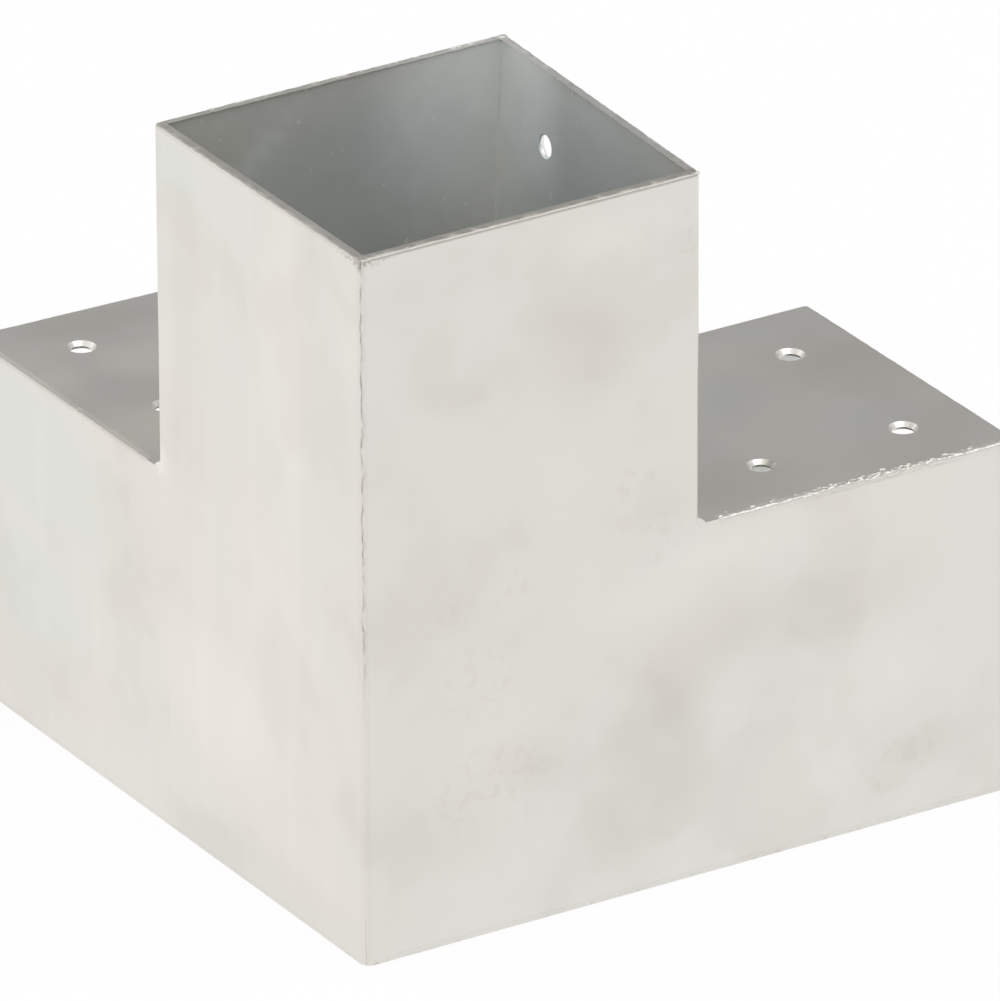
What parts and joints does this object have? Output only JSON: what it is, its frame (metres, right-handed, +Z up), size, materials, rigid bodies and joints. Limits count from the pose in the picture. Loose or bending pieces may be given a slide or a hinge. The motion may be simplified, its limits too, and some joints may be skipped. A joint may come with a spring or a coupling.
{
  "type": "y-shaped post connector",
  "caption": "Galvanised sheet-steel corner connector that joins a square timber post and two beams at right angles, with open sleeves and countersunk screw holes.",
  "frame": {"origin": "on the underside, below the axis of the upright sleeve", "axes": "+Z up along the upright sleeve, +X along the right arm, +Y along the left arm"},
  "size_m": [0.205, 0.205, 0.205],
  "materials": {
    "galvanised_sheet": "hot-dip galvanised steel, satin, faintly mottled",
    "galvanised_weld": "galvanised weld bead, uneven, partly ground"
  },
  "bodies": {
    "root": {"right_side_sheet": "galvanised_sheet", "left_side_sheet": "galvanised_sheet", "base_sheet": "galvanised_sheet", "front_corner_weld": "galvanised_weld", "rear_corner_weld": "galvanised_weld", "right_arm_top_weld": "galvanised_weld", "left_arm_top_weld": "galvanised_weld", "right_base_weld": "galvanised_weld", "left_base_weld": "galvanised_weld", "right_seat_weld": "galvanised_weld", "left_seat_weld": "galvanised_weld", "inner_corner_weld": "galvanised_weld"}
  },
  "joints": []
}
